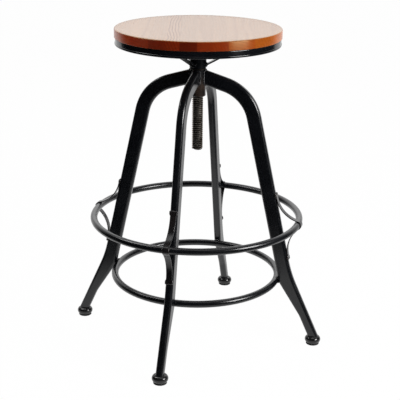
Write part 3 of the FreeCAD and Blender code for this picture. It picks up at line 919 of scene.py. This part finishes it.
class STOOL_OT_seat_band(bpy.types.Operator):
    """Rolls the lipped steel ring under the board"""

    bl_idname = "stool.seat_band"
    bl_label = "Seat ring"

    def execute(self, context):
        stool = context.scene.counter_stool
        carrier = stool.carrier
        corner = carrier.band_round
        inner = band_radius - carrier.band_thickness
        wall = band_radius - carrier.lip_depth
        lip_top = band_low.z + carrier.lip_height - corner
        lip_turn, lip_slope = 62, 0.0004
        profile = [(inner, band_high.z), (inner, band_low.z)]
        profile += quarter_round((band_radius - corner, band_low.z + corner), corner, -90, 0, steps=6)
        profile += quarter_round((band_radius - corner, lip_top), corner, 0, lip_turn, steps=5)
        profile += [(wall, band_low.z + carrier.lip_height + lip_slope)]
        profile += quarter_round((wall - corner, band_high.z - corner), corner, 0, 90, steps=6)
        mesh = new_mesh("seat_band", lathe(profile, ROUND_SEGMENTS))
        material = enamel(stool.enamel, "band_enamel", smoothness=carrier.band_smoothness)
        add_piece("seat_band", mesh, material, SEAT, ["seat_ring"])
        return {"FINISHED"}


class STOOL_OT_painted_frame(bpy.types.Operator):
    """Enamels the legs, rings, collar, hub, struts and arms"""

    bl_idname = "stool.painted_frame"
    bl_label = "Painted frame"

    def execute(self, context):
        settings = context.scene.counter_stool.enamel
        dress(ENAMELLED, enamel(settings, "black_enamel"))
        # The collar and the bows get brown patches of painted warm reflection
        dress(["threaded_collar"], enamel(settings, "collar_enamel", warm_reflection_share=0.8))
        dress(BOWS, enamel(settings, "bow_enamel", warm_reflection_share=0.15))
        return {"FINISHED"}


class STOOL_OT_weld_beads(bpy.types.Operator):
    """Lays the weld beads of the frame and of the seat's carrier"""

    bl_idname = "stool.weld_beads"
    bl_label = "Weld beads"

    def execute(self, context):
        stool = context.scene.counter_stool
        weld = stool.weld
        # The weld beads get a little of the painted warm reflection too
        material = enamel(stool.enamel, "weld_enamel", warm_reflection_share=0.2, smoothness=weld.smoothness)
        open_paths = [bow_end_weld(weld, upper) for upper in (True, False)]
        open_paths += [bow_wrap_weld(sideways) for sideways in (bow_high.y, bow_low.y)]
        open_paths += [brace_weld(weld, turn) for turn in BRACE_BEADS]
        base_paths = [(arm_weld(weld), True, len(SIDES))]
        base_paths += [(path, False, len(SIDES)) for path in open_paths]
        carrier = stool.carrier
        seat_paths = [(path, False, len(ARMS)) for path in strut_welds(carrier)]
        seat_paths += [(arm_end_weld(carrier), False, len(ARMS)), (hub_top_weld(), True, 1)]
        sweep_beads("weld_beads_base", base_paths, 0.0, weld, material, BASE)
        sweep_beads("weld_beads_seat", seat_paths, carrier.arm_turn, weld, material, SEAT)
        return {"FINISHED"}


class STOOL_OT_lift_post(bpy.types.Operator):
    """Finishes the threaded post, its washer and its pin"""

    bl_idname = "stool.lift_post"
    bl_label = "Lift post"

    def execute(self, context):
        settings = context.scene.counter_stool.metal
        dress(["lift_screw", "thrust_washer"], oiled_steel(settings))
        dress(["hub_pin"], zinc_plate(settings, "pin_zinc"))
        return {"FINISHED"}


class STOOL_OT_wood_screws(bpy.types.Operator):
    """Drives the wood screws through the arms into the board"""

    bl_idname = "stool.wood_screws"
    bl_label = "Wood screws"

    def execute(self, context):
        stool = context.scene.counter_stool
        settings = stool.screw
        places = bpy.data.meshes.new("screw_places")
        points = []
        for number in range(len(ARMS)):
            turn = stool.carrier.arm_turn + 2 * math.pi * number / len(ARMS)
            for reach in (settings.inner_place, settings.outer_place):
                points.append(around(reach, turn, screws_low.z))
        places.from_pydata(points, [], [])
        screw = linked_object("screw", screw_mesh(settings))
        inputs = {"Screw": screw, "Material": zinc_plate(stool.metal, "screw_zinc")}
        mesh = run_nodes("wood_screws_driven", places, screw_tree(), inputs)
        bpy.data.objects.remove(screw)
        add_piece("wood_screws_driven", mesh, None, SEAT, ["wood_screws"])
        return {"FINISHED"}


class STOOL_OT_feet(bpy.types.Operator):
    """Finishes the ball feet and their pads"""

    bl_idname = "stool.feet"
    bl_label = "Feet"

    def execute(self, context):
        settings = context.scene.counter_stool.foot
        dress(BALLS, ball_plastic(settings))
        dress(PADS, pad_rubber(settings))
        return {"FINISHED"}


def seen_directly(tree):
    """1 for camera, glossy and transmission rays, and 0 for the rest."""
    path = place(tree, "ShaderNodeLightPath").outputs
    direct = calc("MAXIMUM", path["Is Camera Ray"], path["Is Glossy Ray"])
    return calc("MAXIMUM", direct, path["Is Transmission Ray"])


def reflected_room(tree, point, settings, near, far):
    """1 where a reflection shows the room around the camera, and 0 where it shows the white sweep."""
    heading, right = view_axes(settings.view_turn)
    ahead = measure("DOT_PRODUCT", point, heading)
    side = measure("DOT_PRODUCT", point, right)
    depth = calc("MULTIPLY_ADD", calc("ABSOLUTE", side), -settings.room_slope, ahead)
    glossy = place(tree, "ShaderNodeLightPath").outputs["Is Glossy Ray"]
    return product(fade(depth, near, far), glossy)


def make_floor(settings):
    shape = bmesh.new()
    bmesh.ops.create_circle(shape, cap_ends=True, segments=96, radius=FLOOR_RADIUS)
    mesh = new_mesh("floor", shape)
    material = bpy.data.materials.new("floor")
    tree = empty_tree(material)
    point = place(tree, "ShaderNodeTexCoord").outputs["Object"]
    near = -settings.sweep_end
    room = reflected_room(tree, point, settings, near, near - settings.sweep_fade)
    colour = blend(room, settings.floor_colour, settings.room_colour)
    paint = place(tree, "ShaderNodeBsdfDiffuse", {"Color": colour}).outputs[0]
    glow = place(tree, "ShaderNodeEmission").outputs[0]
    factor = product(seen_directly(tree), settings.floor_glow, calc("SUBTRACT", 1.0, room))
    mix = place(tree, "ShaderNodeMixShader", {0: factor, 1: paint, 2: glow}).outputs[0]
    place(tree, "ShaderNodeOutputMaterial", {"Surface": mix})
    mesh.materials.append(material)
    linked_object("floor", mesh)


def make_world(settings):
    world = bpy.data.worlds.new("studio")
    tree = empty_tree(world)
    direction = place(tree, "ShaderNodeTexCoord").outputs["Generated"]
    room = reflected_room(tree, direction, settings, near=0.2, far=-0.5)
    colour = blend(room, (1.0, 1.0, 1.0), settings.room_colour)
    strength = fade(seen_directly(tree), 0.0, 1.0, settings.ambient, 1.0)
    background = place(tree, "ShaderNodeBackground", {"Color": colour, "Strength": strength})
    place(tree, "ShaderNodeOutputWorld", {"Surface": background.outputs[0]})
    bpy.context.scene.world = world


def view_axes(turn):
    """The camera's level heading and its right-hand side."""
    return Vector((-math.sin(turn), math.cos(turn), 0)), Vector((math.cos(turn), math.sin(turn), 0))


def softbox(name, position, aim, width, height, watts):
    data = bpy.data.lights.new(name, "AREA")
    data.shape = "RECTANGLE"
    data.size = width
    data.size_y = height
    data.energy = watts
    lamp = linked_object(name, data)
    lamp.location = position
    lamp.rotation_mode = "QUATERNION"
    lamp.rotation_quaternion = (aim - position).to_track_quat("-Z", "Y")
    lamp.visible_camera = False


def make_camera(settings):
    heading, right = view_axes(settings.view_turn)
    position = right * settings.camera_side - heading * settings.camera_distance
    position.z = settings.camera_height
    heading, right = view_axes(settings.view_turn - settings.camera_turn)
    data = bpy.data.cameras.new("camera")
    data.lens = data.sensor_width / 2 / math.tan(settings.field_of_view / 2)
    camera = linked_object("camera", data)
    forward = heading * math.cos(settings.camera_pitch) - Vector((0, 0, math.sin(settings.camera_pitch)))
    level = Matrix((right, right.cross(forward), -forward)).transposed().to_4x4()
    roll = Matrix.Rotation(settings.camera_roll, 4, "Z")
    camera.matrix_world = Matrix.Translation(position) @ level @ roll
    bpy.context.scene.camera = camera


class STOOL_OT_stage(bpy.types.Operator):
    """Makes the floor, the soft studio light and the camera"""

    bl_idname = "stool.stage"
    bl_label = "Stage"

    def execute(self, context):
        settings = context.scene.counter_stool.stage
        heading, right = view_axes(settings.view_turn)
        up = Vector((0, 0, 1))
        make_floor(settings)
        make_world(settings)
        for name, (side, behind, above, aim, width, height, watts) in LAMPS.items():
            position = right * side + heading * behind + up * above
            softbox(name, position, up * aim, width, height, watts)
        make_camera(settings)
        context.scene.view_settings.view_transform = "Standard"
        return {"FINISHED"}


class STOOL_PT_panel(bpy.types.Panel):
    """Lists the stool's pieces and their settings"""

    bl_idname = "STOOL_PT_panel"
    bl_label = "Counter stool"
    bl_space_type = "VIEW_3D"
    bl_region_type = "UI"
    bl_category = "Stool"

    def draw(self, context):
        stool = context.scene.counter_stool
        for operator in OPERATORS:
            self.layout.operator(operator.bl_idname)
        for name in StoolSettings.__annotations__:
            box = self.layout.box()
            group = getattr(stool, name)
            for setting in group.__annotations__:
                box.prop(group, setting)


SETTINGS = (
    BoardSettings,
    EnamelSettings,
    MetalSettings,
    FootSettings,
    CarrierSettings,
    WeldSettings,
    ScrewSettings,
    StageSettings,
    StoolSettings,
)
OPERATORS = (
    STOOL_OT_seat_board,
    STOOL_OT_seat_band,
    STOOL_OT_painted_frame,
    STOOL_OT_weld_beads,
    STOOL_OT_lift_post,
    STOOL_OT_wood_screws,
    STOOL_OT_feet,
    STOOL_OT_stage,
)


def register():
    for group in SETTINGS + OPERATORS + (STOOL_PT_panel,):
        bpy.utils.register_class(group)
    bpy.types.Scene.counter_stool = bpy.props.PointerProperty(type=StoolSettings)


def unregister():
    del bpy.types.Scene.counter_stool
    for group in reversed(SETTINGS + OPERATORS + (STOOL_PT_panel,)):
        bpy.utils.unregister_class(group)


def main():
    register()
    bpy.ops.stool.seat_board()
    bpy.ops.stool.seat_band()
    bpy.ops.stool.painted_frame()
    bpy.ops.stool.weld_beads()
    bpy.ops.stool.lift_post()
    bpy.ops.stool.wood_screws()
    bpy.ops.stool.feet()
    bpy.ops.stool.stage()


if __name__ == "__main__":
    main()
